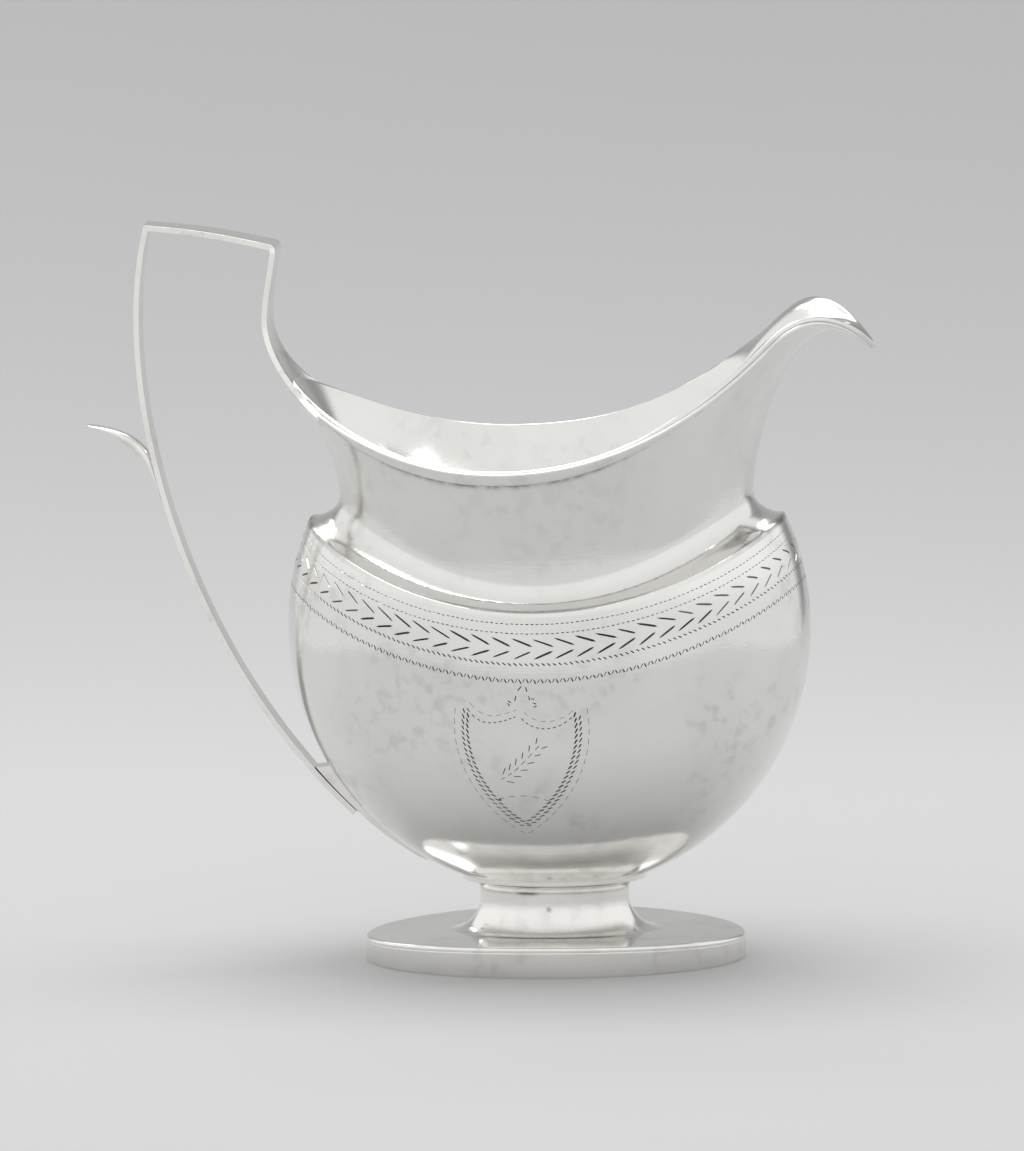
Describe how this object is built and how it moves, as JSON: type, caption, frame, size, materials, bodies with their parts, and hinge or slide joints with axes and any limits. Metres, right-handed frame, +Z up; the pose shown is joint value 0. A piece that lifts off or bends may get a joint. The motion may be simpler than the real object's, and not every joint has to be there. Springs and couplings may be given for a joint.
{
  "type": "cream jug",
  "caption": "oval raised cream jug with a saddle-shaped rim, a curled pouring lip, a flat angular strap handle with a thumb spur, and an oval spool foot",
  "frame": {"origin": "on the table, under the middle of the jug's whole length, in its plane of symmetry", "axes": "+X from the handle to the pouring lip, +Y across the bowl, +Z up"},
  "size_m": [0.1482, 0.064, 0.1392],
  "materials": {
    "bowl_silver": "bright polished silver, lightly worn, engraved band and shield",
    "neck_silver": "polished silver, lightly worn, faint tarnish spots",
    "wire_silver": "bright polished silver wire",
    "strap_silver": "polished silver strap, drawn edges",
    "spur_silver": "polished silver",
    "tongue_silver": "polished silver, worn",
    "stem_silver": "polished silver, softly hammered",
    "foot_rim_silver": "polished silver strip, worn edge"
  },
  "bodies": {
    "root": {"bowl": "bowl_silver", "neck": "neck_silver", "rim_wire": "wire_silver", "handle_strap": "strap_silver", "handle_spur": "spur_silver", "handle_tongue": "tongue_silver", "foot_stem": "stem_silver", "foot_rim": "foot_rim_silver"}
  },
  "joints": []
}
